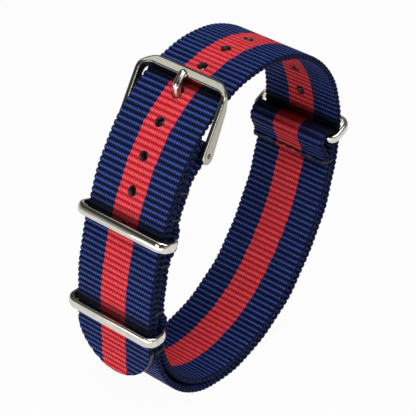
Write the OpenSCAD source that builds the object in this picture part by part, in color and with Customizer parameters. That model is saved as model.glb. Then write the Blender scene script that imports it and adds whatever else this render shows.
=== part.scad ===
// Buckled one-piece nylon watch strap: two plies of ribbed webbing, buckle, keepers and end ring.
// X runs across the webbing, the buckle side faces -Y, Z is up. The loop stands on its outer ply.

/* [Loop] */
// Height of the buckled loop, over the webbing
loop_h = 73.5; // [70:0.5:80]
// Depth of the buckled loop, over the webbing
loop_d = 62.5; // [60:0.5:68]
// Height at which the front of the loop runs upright
front_z = 24; // [21:0.5:27]
// Height at which the back of the loop runs upright
back_z = 47; // [43:0.5:50]
// Distance from the front webbing back to the crown
crown_y = 35; // [32:0.2:38]
// Distance from the front webbing back to the lowest point
foot_y = 24; // [21:0.2:27]
// Turn of the long flat arc above the upright front
front_turn = 31; // [28:1:36]

/* [Webbing] */
// Width of the webbing
strap_w = 20; // [16:0.5:24]
// Thickness of one ply of webbing
ply_t = 1.3; // [1.1:0.05:1.5]
// Gap between the tail and the ply it lies on
tail_gap = 0.25; // [0.2:0.05:0.4]
// Gap between plies where they are sewn together
seam_gap = 0.35; // [0.3:0.05:0.5]
// Gap between the main and the short strap, where the watch's bars pass
pass_gap = 0.8; // [0.6:0.1:1.2]
// Reach of the tail below the upright front, along the webbing
tail_reach = 11.8; // [11:0.2:14]
// Length of the tail's rounded tip
tip_l = 9.5; // [7:0.5:10]
// Room along the webbing between a keeper and the sewn plies
pocket_room = 0.5; // [0.3:0.1:0.8]
// Distance from the lowest stitches under the upper keeper to the butted ends of the two straps
join_off = 2.5; // [2:0.1:3]

/* [Adjusting holes] */
// Diameter of a heat-sealed hole
hole_d = 2.2; // [1.9:0.1:2.6]
// Distance from hole to hole
hole_pitch = 7.35; // [6.5:0.05:8.5]
// Holes between the tongue's hole and the tip
holes_before = 4; // [1:1:4]
// Holes past the tongue's hole
holes_after = 7; // [1:1:8]

/* [Buckle] */
// Distance of the spring bar up the front, along the webbing
pin_s = 44; // [43:0.2:46]
// Distance along the webbing from the spring bar to the top bar
bar_reach = 12.6; // [12:0.1:14]
// Width of the top bar along the webbing
bar_l = 2.4; // [2:0.1:3]
// Thickness of the top bar
bar_t = 1.8; // [1.5:0.1:2.2]
// Gap between the top bar and the tail
bar_gap = 0.25; // [0.2:0.05:0.4]
// Width of an arm across the webbing
arm_w = 1.2; // [1:0.1:1.6]
// Height of an arm at its round end, from which it tapers to the top bar
arm_h = 3; // [2.4:0.1:3.2]
// Reach of an arm past the spring bar
arm_end = 2; // [1.8:0.1:3]
// Radius of the bend from the arms to the top bar
bend_r = 1.5; // [1.2:0.1:2.5]
// Outer radius of the frame's corners
corner_r = 5; // [3.5:0.25:6]
// Inner radius of the frame's corners
inner_corner_r = 2; // [1.2:0.1:2.4]
// Chamfer along the top bar's far edges
bar_chamfer = 0.4; // [0.2:0.1:0.6]
// Space between the webbing's edge and an arm
arm_gap = 0.3; // [0.2:0.1:0.8]

/* [Tongue] */
// Diameter of the tongue's wire
wire_d = 1.2; // [1:0.05:1.3]
// Distance that the tongue's tip lies over the top bar
tongue_lap = 0.65; // [0.4:0.05:1.2]
// Gap between the tongue's tip and the top bar
tongue_gap = 0.1; // [0.05:0.05:0.2]
// Distance from the middle of the top bar to the hole that the tongue is in
hole_off = 3.5; // [3.3:0.1:4]
// Distance from that hole to the heel, where the tongue bends up
heel_off = 1.8; // [1.6:0.1:2]
// Room under the tail for the tongue to lift
lift_room = 0.75; // [0.5:0.05:0.9]

/* [Spring bar] */
// Outer diameter of the tube
tube_d = 1.6; // [1.5:0.05:1.8]
// Gap between the tube and the webbing folded round it
fold_gap = 0.2; // [0.1:0.05:0.3]
// Wall of the tube
tube_wall = 0.2; // [0.15:0.01:0.25]
// Diameter of a tip
tip_d = 0.8; // [0.7:0.05:0.85]
// Running gap round the tips and inside the tongue's eye
run_gap = 0.05; // [0.03:0.01:0.08]
// Depth of a tip's end below the outer face of its arm
tip_in = 0.1; // [0.05:0.05:0.3]
// Diameter of the spring's wire
spring_wire = 0.2; // [0.15:0.01:0.25]
// Turns of the spring
spring_turns = 24; // [12:1:30]

/* [Keepers] */
// Distance of the upper keeper up the front, along the webbing
upper_s = 23.5; // [22.5:0.5:26]
// Distance of the lower keeper up the front, along the webbing
lower_s = 2; // [1.5:0.5:5]
// Width of a keeper's band along the webbing
keeper_w = 2.3; // [2:0.1:3]
// Thickness of a keeper's band
keeper_t = 1.1; // [0.9:0.05:1.3]
// Gap between a keeper's back bar and the plies on both sides of it
keeper_gap = 0.25; // [0.2:0.05:0.35]
// Gap between the tail and a keeper's front bar
keeper_off = 0.7; // [0.3:0.1:1]
// Outer corner radius of a keeper
keeper_corner_r = 2.4; // [1.6:0.1:2.8]
// Space between the webbing's edge and the side of a keeper
keeper_side = 0.9; // [0.7:0.1:1.4]

/* [End ring] */
// Width of the end ring's band
end_w = 2; // [1.6:0.1:2.6]
// Thickness of the end ring's band
end_t = 0.9; // [0.8:0.05:1.2]
// Rise of the end ring's outer bar over its inner bar, as an angle
end_tilt = 22; // [15:1:30]
// Gap between the main strap's outer face and the end ring's outer bar
end_off = 0.9; // [0.4:0.1:1.2]
// Outer corner radius of the end ring
end_corner_r = 2.6; // [2:0.1:2.8]
// Space between the webbing's edge and the side of the end ring
end_side = 0.7; // [0.6:0.1:1.2]
// Length of the short strap's folded end, from the ring's bar to the cut
end_l = 6.8; // [6.4:0.2:9]
// Distance of the end ring's bar below the upright back, along the webbing
end_drop = 3; // [2:0.1:4]
// Gap round the end ring's inner bar, in which the bar turns
eye_gap = 0.2; // [0.15:0.05:0.3]
// Gap between the main and the short strap beside the end ring
end_gap = 0.3; // [0.2:0.05:0.4]

/* [Stitching] */
// Diameter of the sewing thread
thread_d = 0.3; // [0.22:0.02:0.36]
// Stitches in a row across the webbing
stitches = 9; // [5:1:11]
// Length of a stitch
stitch_l = 1.5; // [1:0.1:1.6]
// Gap between a stitch and the webbing it lies on
lie_gap = 0.03; // [0.02:0.01:0.05]
// Distance of the last row from the short strap's cut end
cut_off = 1; // [0.8:0.1:1.5]

/* [Hidden] */
$fn = 32;

navy = [0.16, 0.24, 0.52];
steel = [0.72, 0.71, 0.67];
black = [0.05, 0.05, 0.07];

// Depths below the outline, which is the outer face of the tail, crown, back and foot
mid_d = ply_t + tail_gap;
fold_r = tube_d / 2 + fold_gap;
pin_d = mid_d + ply_t + fold_r;

// Radii of the two tangent arcs of a quarter turn, the first of which turns by a
function turn_det(a) = (1 - cos(a)) * (1 - sin(a)) - sin(a) * cos(a);
function first_r(along, across, a) = (across * (1 - sin(a)) - along * cos(a)) / turn_det(a);
function second_r(along, across, a) = (along * (1 - cos(a)) - across * sin(a)) / turn_det(a);
function quarter(along, across, a) = [
    [first_r(along, across, a), a],
    [second_r(along, across, a), 90 - a]
];
function arc_l(arc) = arc[0] * arc[1] * PI / 180;

// The loop as eight arcs: up the front, over the crown, down the back and under the foot
arcs = concat(
    quarter(loop_h - front_z, crown_y, front_turn),
    quarter(loop_d - crown_y, loop_h - back_z, 45),
    quarter(back_z, loop_d - foot_y, 45),
    quarter(foot_y - mid_d, front_z, 45)
);

// A heading of 0 is up and 90 is to the back; the inside of the loop is on the right
function ahead(h) = [sin(h), cos(h)];
function inward(h) = [cos(h), -sin(h)];
function heading_of(v) = atan2(v[0], v[1]);
function go_on(place, r, l) =
    let(h = place[2], turned = h + l / r * 180 / PI)
    let(p = [place[0], place[1]] + r * (inward(h) - inward(turned)))
    [p[0], p[1], turned];
function stations(i = 0, s = 0, place = [0, front_z, 0]) =
    i == len(arcs) ? [[s, place]]
    : concat([[s, place]], stations(i + 1, s + arc_l(arcs[i]), go_on(place, arcs[i][0], arc_l(arcs[i]))));
marks = stations();
loop_l = marks[len(arcs)][0];
back_s = marks[4][0];

// Place, heading and point at a distance s along the outline and a depth d below it
function arc_at(s, i = 0) = i < len(arcs) - 1 && s >= marks[i + 1][0] ? arc_at(s, i + 1) : i;
function place_at(s) =
    s <= 0 ? [0, front_z + s, 0]
    : let(i = arc_at(s)) go_on(marks[i][1], arcs[i][0], s - marks[i][0]);
function heading_at(s) = place_at(s)[2];
function at(s, d) = let(p = place_at(s)) [p[0], p[1]] + d * inward(p[2]);

// The same along the whole main strap, whose second pass up the front lies under the tail
function run(u, d) = u <= loop_l ? at(u, d) : at(u - loop_l, d + mid_d);

function ease(t) = (1 - cos(180 * min(1, max(0, t)))) / 2;
function swell(u, centre, flat, ramp) = ease((flat + ramp - abs(u - centre)) / ramp);
function span(a, b, step) = let(n = ceil(abs(b - a) / step)) [for (i = [0:n]) a + (b - a) * i / n];
function reverse(list) = [for (i = [len(list) - 1:-1:0]) list[i]];
function part_of(list, first, last) = [for (i = [first:last]) list[i]];

// Gap under the main strap: open at the spring bar, the keepers' back bars and the watch's bars
pocket_flat = keeper_w / 2 + pocket_room;
pocket_ramp = 3;
pocket_gap = keeper_t + 2 * keeper_gap;
fold_ramp = 9;
pass_ramp = 10;
pass_off = 2;
row_off = 0.5;
seam_off = pocket_flat + pocket_ramp + row_off;
fold_seam_s = pin_s - fold_ramp - row_off;
join_s = upper_s - seam_off - join_off;
butt_gap = 0.1;
end_flat = 4;
tip_power = 1.1;
end_ramp = 10;
end_s = back_s + end_drop;
function ply_gap(u) =
    let(f = u - loop_l)
    seam_gap
    + (pocket_gap - seam_gap) * swell(f, upper_s, pocket_flat, pocket_ramp)
    + (pocket_gap - seam_gap) * swell(f, lower_s, pocket_flat, pocket_ramp)
    + (2 * fold_r - seam_gap) * swell(f, pin_s, 0, fold_ramp)
    + (pass_gap - seam_gap) * ease((lower_s - seam_off - pass_off - f) / pass_ramp)
    + (end_gap - pass_gap) * ease((end_s + end_flat + end_ramp - u) / end_ramp);

// Pocket of the end ring's inner bar, in which the bar turns
eye_r = norm([end_w, end_t]) / 2 + eye_gap;
end_fold_ramp = 5.5;
function end_ply_gap(u) = seam_gap + (2 * eye_r - seam_gap) * ease((end_s + end_fold_ramp - u) / end_fold_ramp);

// Distance between the end ring's bars, whose outer one stands off the main strap
end_bar_d = 2 * ply_t + end_gap + eye_r;
end_reach = end_t / 2 * cos(end_tilt) + end_w / 2 * sin(end_tilt);
end_cc = (end_bar_d + end_off + end_reach) / cos(end_tilt);
end_c = at(end_s, end_bar_d);

// Half way between the keepers' front and the end ring's back, so that the origin is central
keeper_face = at(lower_s, -keeper_off - keeper_t)[0] - keeper_w / 2 * sin(heading_at(lower_s));
end_face = end_c[0] + end_cc * cos(end_tilt) + end_reach;
mid_y = (keeper_face + end_face) / 2;

// Buckle frame: straight arms from the spring bar, bent to lie along the webbing at the top bar
pin_c = at(pin_s, pin_d);
bar_s = pin_s + bar_reach;
bar_h = heading_at(bar_s);
bar_c = at(bar_s, -bar_gap - bar_t / 2);
bend_room = 0.4;
bend_end = bar_c - (bar_l / 2 + bend_room) * ahead(bar_h);
bend_c = bend_end + bend_r * inward(bar_h);
to_bend = bend_c - pin_c;
arm_heading = heading_of(to_bend) - asin(bend_r / norm(to_bend));
frame_w = strap_w + 2 * (arm_gap + arm_w);
window_w = frame_w - 2 * arm_w;
frame_far = 2 * (bar_reach + arm_end);
over = 1;

// Tongue: from its eye under the tail, up through the hole, over the edge of the top bar
eye_wire_r = tube_d / 2 + run_gap + wire_d / 2;
slot_gap = 0.5;
slot_w = wire_d + 2 * slot_gap;
hole_s = bar_s - hole_off;
lip_s = bar_s - bar_l / 2;
tip_p = at(lip_s + tongue_lap - wire_d / 2, -bar_gap - bar_t - wire_d / 2 - tongue_gap);
knee_p = at(hole_s, tongue_gap - bar_gap - bar_t);
heel_s = hole_s - heel_off;
heel_p = at(heel_s, ply_t + lift_room + wire_d / 2);
to_heel = heel_p - pin_c;
shank_heading = heading_of(to_heel) + asin(eye_wire_r / norm(to_heel));
eye_turn = 265;
tongue_bend = 1;
wire_sides = 12;
shank_p = pin_c - eye_wire_r * inward(shank_heading);
drawn_in = 0.15;
drawn_hole_r = hole_d / 2 - drawn_in;
drawn_low_s = heel_s + 0.4;
drawn_high_s = hole_s - 0.05;

// Spring bar: the tips' heads are held in by the tube's crimped ends
tube_l = strap_w + 2 * arm_gap - 2 * run_gap;
crimp_l = 0.5;
head_l = 0.8;
head_end = tube_l / 2 - crimp_l - run_gap;
spring_l = 2 * (head_end - head_l - run_gap);
spring_r = tube_d / 2 - tube_wall - run_gap - spring_wire / 2;

module on_path(place) {
    translate([0, place[0], place[1]])
        rotate([-place[2], 0, 0])
            children();
}

module across(width) {
    rotate([90, 0, 90])
        linear_extrude(height = width, center = true)
            children();
}

module along_x(length, r) {
    rotate([0, 90, 0])
        cylinder(h = length, r = r, center = true);
}

// Outline of the main strap's side: tail, loop, second pass, fold and sewn end
long_step = 2.5;
short_step = 0.8;
loop_us = concat(
    [for (i = [0:len(arcs) - 1]) each part_of(span(marks[i][0], marks[i + 1][0], long_step), 0,
        ceil(arc_l(arcs[i]) / long_step) - 1)],
    span(loop_l, loop_l + pin_s, long_step)
);
fold_us = span(loop_l + pin_s, loop_l + join_s, short_step);
fold_angles = [15:15:165];
fold_angles_back = [165:-15:15];

function fold_points(centre, h, r, angles, way) =
    [for (a = angles) centre + r * (way * sin(a) * ahead(h) - cos(a) * inward(h))];

module main_strap_side() {
    pin_h = heading_at(pin_s);
    polygon(concat(
        [at(-tail_reach, 0)],
        [for (u = loop_us) run(u, 0)],
        fold_points(pin_c, pin_h, fold_r + ply_t, fold_angles, 1),
        [for (u = fold_us) run(u, 2 * ply_t + ply_gap(u))],
        [for (u = reverse(fold_us)) run(u, ply_t + ply_gap(u))],
        fold_points(pin_c, pin_h, fold_r, fold_angles_back, 1),
        [for (u = reverse(loop_us)) run(u, ply_t)],
        [at(-tail_reach, ply_t)]
    ));
}

// From above the tail at a distance along it to the middle of the gap under it
module through_tail(s) {
    on_path(place_at(s))
        translate([0, ply_t + tail_gap / 2, 0])
            rotate([90, 0, 0])
                linear_extrude(height = ply_t + over)
                    children();
}

module tail_holes() {
    for (i = [-holes_before:holes_after])
        if (i != 0)
            through_tail(hole_s + i * hole_pitch)
                circle(d = hole_d);
}

// The hole in use is drawn long by the tongue
module tongue_hole() {
    for (s = [drawn_low_s, drawn_high_s])
        through_tail(s)
            circle(r = drawn_hole_r);
    through_tail((drawn_low_s + drawn_high_s) / 2)
        square([2 * drawn_hole_r, drawn_high_s - drawn_low_s], center = true);
}

// What is cut away beside the tail's tip, whose outline is a little more pointed than an ellipse
module tip_trim() {
    tip_z = at(-tail_reach, 0)[1];
    low_z = tip_z - over;
    top_z = tip_z + tip_l;
    far = strap_w / 2 + over;
    tip = [for (a = span(0, 180, 9))
        [-sign(cos(a)) * pow(abs(cos(a)), tip_power) * strap_w / 2, top_z - tip_l * pow(sin(a), tip_power)]];
    translate([0, ply_t + tail_gap / 2, 0])
        rotate([90, 0, 0])
            linear_extrude(height = ply_t + over)
                polygon(concat(tip, [[far, top_z], [far, low_z], [-far, low_z], [-far, top_z]]));
}

module main_strap() {
    color(navy)
        difference() {
            across(strap_w) main_strap_side();
            tail_holes();
            tongue_hole();
            tip_trim();
            translate([0, pin_c[0], pin_c[1]])
                along_x(slot_w, fold_r + ply_t + tail_gap / 2);
        }
}

// Outline of the short strap's side: sewn end, run under the loop, fold round the ring, cut end
module short_strap_side() {
    end_h = heading_at(end_s);
    top_u = loop_l + join_s - butt_gap;
    turn_u = marks[len(arcs) - 1][0];
    foot_us = span(turn_u, end_s, long_step);
    low_us = concat(span(top_u, turn_u, short_step), part_of(foot_us, 1, len(foot_us) - 1));
    end_us = span(end_s, end_s + end_l, short_step);
    polygon(concat(
        [for (u = low_us) run(u, ply_t + ply_gap(u))],
        fold_points(end_c, end_h, eye_r + ply_t, fold_angles, -1),
        [for (u = end_us) run(u, 3 * ply_t + ply_gap(u) + end_ply_gap(u))],
        [for (u = reverse(end_us)) run(u, 2 * ply_t + ply_gap(u) + end_ply_gap(u))],
        fold_points(end_c, end_h, eye_r, fold_angles_back, -1),
        [for (u = reverse(low_us)) run(u, 2 * ply_t + ply_gap(u))]
    ));
}

module short_strap() {
    color(navy)
        across(strap_w) short_strap_side();
}

// Side of the frame: a bar bent along the arms' line, with round arm ends
module frame_side() {
    bend_angles = span(arm_heading, bar_h, 6);
    line = concat(
        [[pin_c - (arm_end - arm_h / 2) * ahead(arm_heading), arm_heading]],
        [for (a = bend_angles) [bend_c - bend_r * inward(a), a]],
        [[bar_c + (bar_l / 2 - bar_chamfer) * ahead(bar_h), bar_h]]
    );
    last = len(line) - 1;
    function half_t(i) = (i == 0 ? arm_h : bar_t) / 2;
    end_round = [for (a = [20:20:160]) line[0][0]
        + arm_h / 2 * (cos(a) * inward(arm_heading) - sin(a) * ahead(arm_heading))];
    polygon(concat(
        [for (i = [0:last]) line[i][0] - half_t(i) * inward(line[i][1])],
        [for (side = [-1, 1]) bar_c + bar_l / 2 * ahead(bar_h) + side * (bar_t / 2 - bar_chamfer) * inward(bar_h)],
        [for (i = [last:-1:0]) line[i][0] + half_t(i) * inward(line[i][1])],
        end_round
    ));
}

// Rectangle below the line z = 0 with round top corners
module round_topped(w, h, r) {
    translate([-w / 2, -h])
        square([w, h - r]);
    translate([-w / 2 + r, -h])
        square([w - 2 * r, h]);
    for (side = [-1, 1])
        translate([side * (w / 2 - r), -r])
            circle(r = r);
}

module buckle_frame() {
    color(steel)
        difference() {
            intersection() {
                across(frame_w) frame_side();
                translate([0, bar_c[0], bar_c[1]])
                    rotate([90 - bar_h, 0, 0])
                        linear_extrude(height = 2 * frame_far, center = true)
                            difference() {
                                translate([0, bar_l / 2])
                                    round_topped(frame_w, frame_far, corner_r);
                                translate([0, -bar_l / 2])
                                    round_topped(window_w, frame_far, inner_corner_r);
                            }
            }
            translate([0, pin_c[0], pin_c[1]])
                along_x(frame_w + over, tip_d / 2 + run_gap);
        }
}

// Closed tube with wire_sides sides through stations [y, z, heading, radius] in the plane x = 0
module wire(stations) {
    n = len(stations);
    points = [for (st = stations, j = [0:wire_sides - 1])
        let(b = 360 * j / wire_sides, p = [st[0], st[1]] + st[3] * sin(b) * inward(st[2]))
        [st[3] * cos(b), p[0], p[1]]];
    sheet = [for (i = [0:n - 2], j = [0:wire_sides - 1])
        let(k = (j + 1) % wire_sides, q = i * wire_sides, w = q + wire_sides)
        each [[q + j, q + k, w + k], [q + j, w + k, w + j]]];
    first = (n - 1) * wire_sides;
    caps = [for (j = [1:wire_sides - 2])
        each [[0, j + 1, j], [first, first + j, first + j + 1]]];
    polyhedron(points = points, faces = concat(sheet, caps), convexity = 6);
}

// Stations on an arc, side is 1 where the wire turns left and -1 where it turns right
function bend_stations(centre, bend, side, headings, r) =
    [for (h = headings) let(p = centre + side * bend * inward(h)) [p[0], p[1], h, r]];

// Wire with an open eye round the spring bar and two bends, ending in a dome
module buckle_tongue() {
    r = wire_d / 2;
    rise_heading = heading_of(knee_p - heel_p);
    tip_heading = heading_of(tip_p - knee_p);
    heel_turn = shank_heading - rise_heading;
    knee_turn = tip_heading - rise_heading;
    rise_start = heel_p + tongue_bend * tan(heel_turn / 2) * ahead(rise_heading);
    rise_end = knee_p - tongue_bend * tan(knee_turn / 2) * ahead(rise_heading);
    heel_c = rise_start - tongue_bend * inward(rise_heading);
    knee_c = rise_end + tongue_bend * inward(rise_heading);
    color(steel)
        wire(concat(
            bend_stations(pin_c, eye_wire_r, -1, span(shank_heading - eye_turn, shank_heading, 15), r),
            bend_stations(heel_c, tongue_bend, 1, span(shank_heading, rise_heading, 12), r),
            bend_stations(knee_c, tongue_bend, -1, span(rise_heading, tip_heading, 12), r),
            [for (b = [0:20:80]) let(p = tip_p + r * sin(b) * ahead(tip_heading))
                [p[0], p[1], tip_heading, r * cos(b)]]
        ));
}

module spring_bar_tube() {
    color(steel)
        translate([0, pin_c[0], pin_c[1]])
            difference() {
                along_x(tube_l, tube_d / 2);
                along_x(tube_l - 2 * crimp_l, tube_d / 2 - tube_wall);
                along_x(tube_l + over, tip_d / 2 + run_gap);
            }
}

// side is -1 for the left tip and 1 for the right
module spring_bar_tip(side) {
    color(steel)
        translate([0, pin_c[0], pin_c[1]])
            mirror([side < 0 ? 1 : 0, 0, 0])
                rotate([0, 90, 0])
                    union() {
                        translate([0, 0, head_end - head_l])
                            cylinder(h = head_l, r = tube_d / 2 - tube_wall - run_gap);
                        translate([0, 0, head_end - head_l])
                            cylinder(h = frame_w / 2 - tip_in - head_end + head_l, r = tip_d / 2);
                    }
}

module spring_bar_spring() {
    rings_a_turn = 8;
    sides = 5;
    n = spring_turns * rings_a_turn;
    pitch = (spring_l - spring_wire) / spring_turns;
    points = [for (i = [0:n], j = [0:sides - 1])
        let(a = 360 * i / rings_a_turn, b = 360 * j / sides)
        let(rr = spring_r + spring_wire / 2 * cos(b))
        [(i / n - 0.5) * pitch * spring_turns + spring_wire / 2 * sin(b), rr * cos(a), rr * sin(a)]];
    sheet = [for (i = [0:n - 1], j = [0:sides - 1])
        let(k = (j + 1) % sides, p = i * sides, q = p + sides)
        each [[p + j, q + j, q + k], [p + j, q + k, p + k]]];
    caps = [for (j = [1:sides - 2])
        each [[0, j, j + 1], [n * sides, n * sides + j + 1, n * sides + j]]];
    color(steel)
        translate([0, pin_c[0], pin_c[1]])
            polyhedron(points = points, faces = concat(sheet, caps), convexity = 10);
}

// Flat band bent into a ring: clear_w by clear_d inside, its band w wide and t thick
module band_ring(clear_w, clear_d, w, t, corner_r) {
    r = min(corner_r, t + 0.9 * clear_d / 2);
    linear_extrude(height = w, center = true)
        difference() {
            rounded(clear_w + 2 * t, clear_d + 2 * t, r);
            rounded(clear_w, clear_d, r - t);
        }
}

module rounded(w, d, r) {
    square([w - 2 * r, d], center = true);
    square([w, d - 2 * r], center = true);
    for (x = [-1, 1], y = [-1, 1])
        translate([x * (w / 2 - r), y * (d / 2 - r)])
            circle(r = r);
}

module keeper(s) {
    color(steel)
        on_path(place_at(s))
            translate([0, (mid_d + ply_t + keeper_gap - keeper_off) / 2, 0])
                band_ring(strap_w + 2 * keeper_side, mid_d + ply_t + keeper_gap + keeper_off, keeper_w, keeper_t,
                    keeper_corner_r);
}

module end_ring() {
    color(steel)
        translate([0, end_c[0], end_c[1]])
            rotate([end_tilt, 0, 0])
                translate([0, end_cc / 2, 0])
                    band_ring(strap_w + 2 * end_side, end_cc - end_t, end_w, end_t, end_corner_r);
}

// A row of stitches through two plies, on both faces and wrapped round the edges.
// u is the row's place, d_out and d_in the depths of the faces that it is sewn to.
module stitch_row(u, d_out, d_in) {
    place = u <= loop_l ? place_at(u) : place_at(u - loop_l);
    shift = u <= loop_l ? 0 : mid_d;
    pitch = strap_w / stitches;
    r = thread_d / 2;
    color(black)
        on_path(place)
            for (i = [0:stitches - 1]) {
                x = (i - (stitches - 1) / 2) * pitch;
                translate([x, d_in + shift + r + lie_gap, 0])
                    rotate([0, 90, 0])
                        cylinder(h = stitch_l, r = r, center = true, $fn = 16);
            }
    color(black)
        on_path(place)
            for (side = [-1, 1])
                translate([side * (strap_w / 2 + r + lie_gap), (d_out + d_in) / 2 + shift, 0])
                    rotate([90, 0, 0])
                        cylinder(h = d_in - d_out, r = r, center = true, $fn = 16);
}

module front_stitching(s) {
    u = loop_l + s;
    stitch_row(u, 0, 2 * ply_t + ply_gap(u));
}

module ring_stitching() {
    u = end_s + end_l - cut_off;
    stitch_row(u, ply_t + ply_gap(u), 3 * ply_t + ply_gap(u) + end_ply_gap(u));
}

module placed() {
    translate([0, -mid_y, 0])
        children();
}

placed() main_strap();
placed() short_strap();
placed() buckle_frame();
placed() buckle_tongue();
placed() spring_bar_tube();
placed() spring_bar_tip(-1);  // spring_bar_tip_left
placed() spring_bar_tip(1);  // spring_bar_tip_right
placed() spring_bar_spring();
placed() keeper(upper_s);  // upper_keeper
placed() keeper(lower_s);  // lower_keeper
placed() end_ring();
placed() front_stitching(fold_seam_s);  // fold_stitching
placed() front_stitching(upper_s + seam_off);  // upper_keeper_top_stitching
placed() front_stitching(upper_s - seam_off);  // upper_keeper_bottom_stitching
placed() front_stitching(lower_s + seam_off);  // lower_keeper_top_stitching
placed() front_stitching(lower_s - seam_off);  // lower_keeper_bottom_stitching
placed() ring_stitching();
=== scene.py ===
# Looks of a buckled nylon watch strap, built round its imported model.
# Metres, Z up. The buckle and the keepers face -Y, and X runs across the webbing.
import math

import bmesh
import bpy
import numpy as np
from mathutils import Matrix, Vector


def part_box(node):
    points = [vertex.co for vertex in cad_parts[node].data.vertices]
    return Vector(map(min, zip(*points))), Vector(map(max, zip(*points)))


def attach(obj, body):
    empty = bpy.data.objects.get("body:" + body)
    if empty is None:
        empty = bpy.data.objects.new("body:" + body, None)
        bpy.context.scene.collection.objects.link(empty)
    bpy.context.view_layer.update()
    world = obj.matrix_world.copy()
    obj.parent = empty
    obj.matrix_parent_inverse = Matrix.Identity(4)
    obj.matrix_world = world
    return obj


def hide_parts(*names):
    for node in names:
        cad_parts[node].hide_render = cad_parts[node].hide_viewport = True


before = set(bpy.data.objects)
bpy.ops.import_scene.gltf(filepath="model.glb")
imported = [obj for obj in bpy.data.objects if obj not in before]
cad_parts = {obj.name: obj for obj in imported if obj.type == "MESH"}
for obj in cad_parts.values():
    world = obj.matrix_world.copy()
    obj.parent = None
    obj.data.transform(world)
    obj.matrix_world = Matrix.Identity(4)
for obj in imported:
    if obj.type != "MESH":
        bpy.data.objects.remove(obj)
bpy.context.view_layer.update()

MM = 0.001
strap_low, strap_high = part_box("main_strap")

# Webbing, as in the model
STRAP_W = strap_high.x - strap_low.x
PLY_T = 1.3 * MM
TAIL_GAP = 0.25 * MM
SEAM_GAP = 0.35 * MM
PASS_GAP = 0.8 * MM
TAIL_REACH = 11.8 * MM
TIP_L = 9.5 * MM
TIP_POWER = 1.1
HOLE_D = 2.2 * MM
HOLE_PITCH = 7.35 * MM
HOLES_BEFORE = 4
HOLES_AFTER = 7

# Loop, as in the model
LOOP_H = strap_high.z - strap_low.z
LOOP_D = strap_high.y - strap_low.y
FRONT_Z = 24 * MM
BACK_Z = 47 * MM
CROWN_Y = 35 * MM
FOOT_Y = 24 * MM
FRONT_TURN = 31
EVEN_TURN = 45

# Where the metal sits along the webbing, as in the model
PIN_S = 44 * MM
BAR_REACH = 12.6 * MM
BAR_L = 2.4 * MM
HOLE_OFF = 3.5 * MM
HEEL_OFF = 1.8 * MM
TUBE_R = 0.8 * MM
FOLD_GAP = 0.2 * MM
UPPER_S = 23.5 * MM
LOWER_S = 2 * MM
KEEPER_W = 2.3 * MM
KEEPER_T = 1.1 * MM
KEEPER_GAP = 0.25 * MM
KEEPER_OFF = 0.7 * MM
KEEPER_CORNER_R = 2.4 * MM
KEEPER_SIDE = 0.9 * MM
POCKET_ROOM = 0.5 * MM
POCKET_RAMP = 3 * MM
FOLD_RAMP = 9 * MM
PASS_RAMP = 10 * MM
PASS_OFF = 2 * MM
ROW_OFF = 0.5 * MM
JOIN_OFF = 2.5 * MM
BUTT_GAP = 0.1 * MM
END_W = 2 * MM
END_T = 0.9 * MM
END_TILT = math.radians(22)
END_OFF = 0.9 * MM
END_CORNER_R = 2.6 * MM
END_SIDE = 0.7 * MM
EYE_GAP = 0.2 * MM
END_GAP = 0.3 * MM
END_FLAT = 4 * MM
END_RAMP = 10 * MM
END_FOLD_RAMP = 5.5 * MM
END_DROP = 3 * MM
END_L = 6.8 * MM
CUT_OFF = 1 * MM

# Ribs, yarn and stripe of the webbing. A rib dips, and narrows, by these shares between its crests
PATH_STEP = 0.4 * MM
RIB_PITCH = 1.29 * MM
RIB_STEPS = (0.1, 0.25, 0.5, 0.75, 0.9)
RIB_DIP = 0.4
RIB_NARROWING = 0.022
RIB_ROUNDNESS = 1.6
COLUMN_W = 3.1 * MM
COLUMNS_A_SIDE = 3
EDGE_ROUND = 0.42 * MM
EDGE_WAVE = 0.06 * MM
RIB_WAVE = 0.05 * MM
STRIPE_W = STRAP_W / 3
STRIPE_WANDER = 0.22
YARN_W = 0.56 * MM

# The hole in use, which the tongue draws long, and the slot for the tongue's eye
DRAWN_OFF = 0.475 * MM
DRAWN_STRETCH = 1.35
SLOT_W = 2.2 * MM
SLOT_OVER = 3.4 * MM

# Painted shade on the webbing beside the metal, where its shadows fall: how far it is full, and how far it
# reaches
UPPER_SHADE = (0.5 * MM, 3.0 * MM)
LOWER_SHADE = (0.8 * MM, 3.0 * MM)
BUCKLE_SHADE = (0.5 * MM, -2.4 * MM)
RING_SHADE = (1.8 * MM, -3.4 * MM)
FOLD_SHADE = (3.3 * MM, 6.2 * MM)

# Melted edges of the holes and the tip. The holes' lips, near black and drawn in, also stand as painted shade
# inside the holes
SEAL_THROAT = 0.5
SEAL_DEPTH = 0.92 * PLY_T
SEAL_WALL = 0.2 * MM
SEAL_ROUND = 0.07 * MM
SEAL_OFF = 0.02 * MM
BEAD_R = 0.08 * MM
BEAD_H = 0.42 * PLY_T

# Stitches
STITCHES = 9
STITCH_L = 2.05 * MM
STITCH_DIP = 0.22 * MM
STITCH_TILT = 0.3
STITCH_LIFT = 0.02 * MM
THREAD_R = 0.27 * MM
WRAP_SHORT = 0.1 * MM
WRAP_IN = 0.08 * MM

# Metal
DOME = 0.28 * MM
RIM_R = 0.26 * MM
TONGUE_EXTRA = 0.28 * MM
BUCKLE_VOXEL = 0.11 * MM
BUCKLE_ROUNDING = 34
ALONG_X = (400, 1500, 1500)
ALL_WAYS = (1500, 1500, 1500)

# Painted light of a rib's parts (a highlight on the crest, shade towards the gaps, and the yarn's ticks in
# them), and its least share and spread from rib to rib
BODY_LIGHT = 0.68
CREST_LIGHT = 0.4
TICK_LIGHT = 0.1
RIB_LEAST = 0.84
RIB_SPREAD = 0.2
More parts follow.
